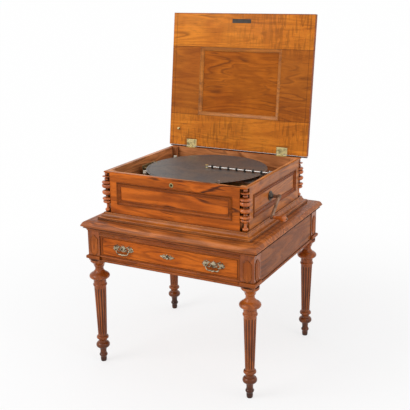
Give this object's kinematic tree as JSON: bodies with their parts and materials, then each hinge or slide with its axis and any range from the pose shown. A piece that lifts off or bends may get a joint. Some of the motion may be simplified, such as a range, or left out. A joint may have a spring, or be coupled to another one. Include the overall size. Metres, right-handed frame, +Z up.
{
  "type": "disc music box on table stand",
  "caption": "Table-mounted disc music box with hinged lid, comb work, pressure bar, winding crank, drawer and turned fluted legs.",
  "frame": {"origin": "on the floor at the centre of the stand", "axes": "+X to the right seen from the front, -Y towards the front, +Z up"},
  "size_m": [0.804, 0.7273, 1.4126],
  "materials": {
    "case_wood": "satin",
    "dark_wood": "satin",
    "lid_wood": "satin",
    "inner_wood": "matte",
    "disc_steel": "tarnished",
    "bright_steel": "polished",
    "black_iron": "satin",
    "bronze_iron": "painted",
    "brass": "aged",
    "ivory": "satin"
  },
  "bodies": {
    "case_and_stand": {"table_top": "case_wood", "leg_front_left": "case_wood", "leg_front_right": "case_wood", "leg_back_left": "case_wood", "leg_back_right": "case_wood", "side_apron_left": "case_wood", "side_apron_right": "case_wood", "back_apron": "case_wood", "drawer_rail_upper": "case_wood", "drawer_rail_lower": "case_wood", "drawer_stiles": "case_wood", "drawer_runners": "inner_wood", "stand_mouldings": "dark_wood", "post_raised_panels": "dark_wood", "case_plinth": "dark_wood", "case_bottom": "inner_wood", "case_front": "case_wood", "case_back": "case_wood", "case_left": "case_wood", "case_right": "case_wood", "case_corner_posts": "inner_wood", "corner_spindles": "dark_wood", "panel_mouldings": "dark_wood", "keyhole_bush": "brass", "case_lock": "brass", "crank_escutcheon": "black_iron", "hinge_case_leaves": "brass", "bedplate": "bronze_iron", "music_combs": "bright_steel", "comb_stand": "bronze_iron", "movement_brackets": "bright_steel", "motor_frame": "bronze_iron"},
    "lid": {"lid_frame": "lid_wood", "lid_panel": "lid_wood", "lid_panel_moulding": "lid_wood", "hinge_lid_leaves": "brass", "lock_keeper": "brass", "stay_lug": "brass"},
    "drawer": {"drawer_front": "case_wood", "drawer_sides": "inner_wood", "drawer_bottom": "inner_wood", "drawer_lock": "brass", "drawer_escutcheon": "bright_steel", "handle_plates": "bright_steel"},
    "handle_left": {"bail_left": "bright_steel"},
    "handle_right": {"bail_right": "bright_steel"},
    "disc": {"tune_disc": "disc_steel"},
    "bar": {"pressure_bar": "bright_steel"},
    "bar_rollers": {"pressure_rollers": "black_iron"},
    "catch": {"catch_knob": "brass"},
    "stars": {"star_wheels": "bright_steel"},
    "guide_back": {"guide_roller_back": "ivory"},
    "guide_front": {"guide_roller_front": "ivory"},
    "start": {"start_lever": "bright_steel"},
    "barrel": {"spring_barrel": "brass"},
    "drive": {"drive_arbor": "brass"},
    "governor": {"governor_fly": "bright_steel"},
    "winding": {"winding_wheel": "brass"},
    "crank": {"crank_shaft": "black_iron"},
    "grip": {"crank_grip": "case_wood"}
  },
  "joints": [
    {"name": "lid_hinge", "type": "hinge", "parent": "case_and_stand", "child": "lid", "pos_m": [0, 0.2821, 0.823], "axis": [1, 0, 0], "range_deg": [0, 96.9]},
    {"name": "drawer_slide", "type": "slide", "parent": "case_and_stand", "child": "drawer", "axis": [0, -1, 0], "range_m": [0, 0.3]},
    {"name": "left_bail", "type": "hinge", "parent": "drawer", "child": "handle_left", "pos_m": [-0.2, -0.3365, 0.524], "axis": [-1, 0, 0], "range_deg": [0, 80]},
    {"name": "right_bail", "type": "hinge", "parent": "drawer", "child": "handle_right", "pos_m": [0.2, -0.3365, 0.524], "axis": [-1, 0, 0], "range_deg": [0, 80]},
    {"name": "disc_spin", "type": "hinge", "parent": "case_and_stand", "child": "disc", "pos_m": [0.004, 0.003, 0.8065], "axis": [0, 0, 1], "continuous": true},
    {"name": "bar_hinge", "type": "hinge", "parent": "case_and_stand", "child": "bar", "pos_m": [0.2837, 0.003, 0.814], "axis": [0, -1, 0], "range_deg": [-95, 0]},
    {"name": "bar_roller_spin", "type": "hinge", "parent": "bar", "child": "bar_rollers", "pos_m": [0.13, 0.003, 0.814], "axis": [1, 0, 0], "continuous": true},
    {"name": "catch_turn", "type": "hinge", "parent": "bar", "child": "catch", "pos_m": [0.004, 0.003, 0.814], "axis": [0, 0, 1], "range_deg": [0, 90]},
    {"name": "star_spin", "type": "hinge", "parent": "case_and_stand", "child": "stars", "pos_m": [0.13, 0.003, 0.7959], "axis": [1, 0, 0], "continuous": true},
    {"name": "back_guide_spin", "type": "hinge", "parent": "case_and_stand", "child": "guide_back", "pos_m": [-0.21796, 0.13115, 0.806], "axis": [0, 0, 1], "continuous": true},
    {"name": "front_guide_spin", "type": "hinge", "parent": "case_and_stand", "child": "guide_front", "pos_m": [-0.19234, -0.16175, 0.806], "axis": [0, 0, 1], "continuous": true},
    {"name": "start_lever_turn", "type": "hinge", "parent": "case_and_stand", "child": "start", "pos_m": [0.165, -0.23, 0.775], "axis": [0, 1, 0], "range_deg": [-12, 12]},
    {"name": "drive_spin", "type": "hinge", "parent": "case_and_stand", "child": "drive", "pos_m": [-0.17, 0.003, 0.774], "axis": [1, 0, 0], "continuous": true},
    {"name": "barrel_spin", "type": "hinge", "parent": "case_and_stand", "child": "barrel", "pos_m": [-0.17, -0.0108, 0.7153], "axis": [1, 0, 0], "continuous": true},
    {"name": "governor_spin", "type": "hinge", "parent": "case_and_stand", "child": "governor", "pos_m": [-0.253, 0.0321, 0.74], "axis": [0, 0, 1], "continuous": true},
    {"name": "winding_spin", "type": "hinge", "parent": "case_and_stand", "child": "winding", "pos_m": [-0.098, -0.0108, 0.7153], "axis": [1, 0, 0], "continuous": true},
    {"name": "crank_turn", "type": "hinge", "parent": "case_and_stand", "child": "crank", "pos_m": [0.2, -0.04711, 0.737], "axis": [1, 0, 0], "continuous": true},
    {"name": "grip_spin", "type": "hinge", "parent": "crank", "child": "grip", "pos_m": [0.383, -0.11696, 0.6741], "axis": [1, 0, 0], "continuous": true}
  ],
  "couplings": [
    {"joint": "drive_spin", "follows": "disc_spin", "ratio": 7.5},
    {"joint": "barrel_spin", "follows": "disc_spin", "ratio": -1.875},
    {"joint": "governor_spin", "follows": "disc_spin", "ratio": -45},
    {"joint": "winding_spin", "follows": "crank_turn", "ratio": -0.4}
  ]
}
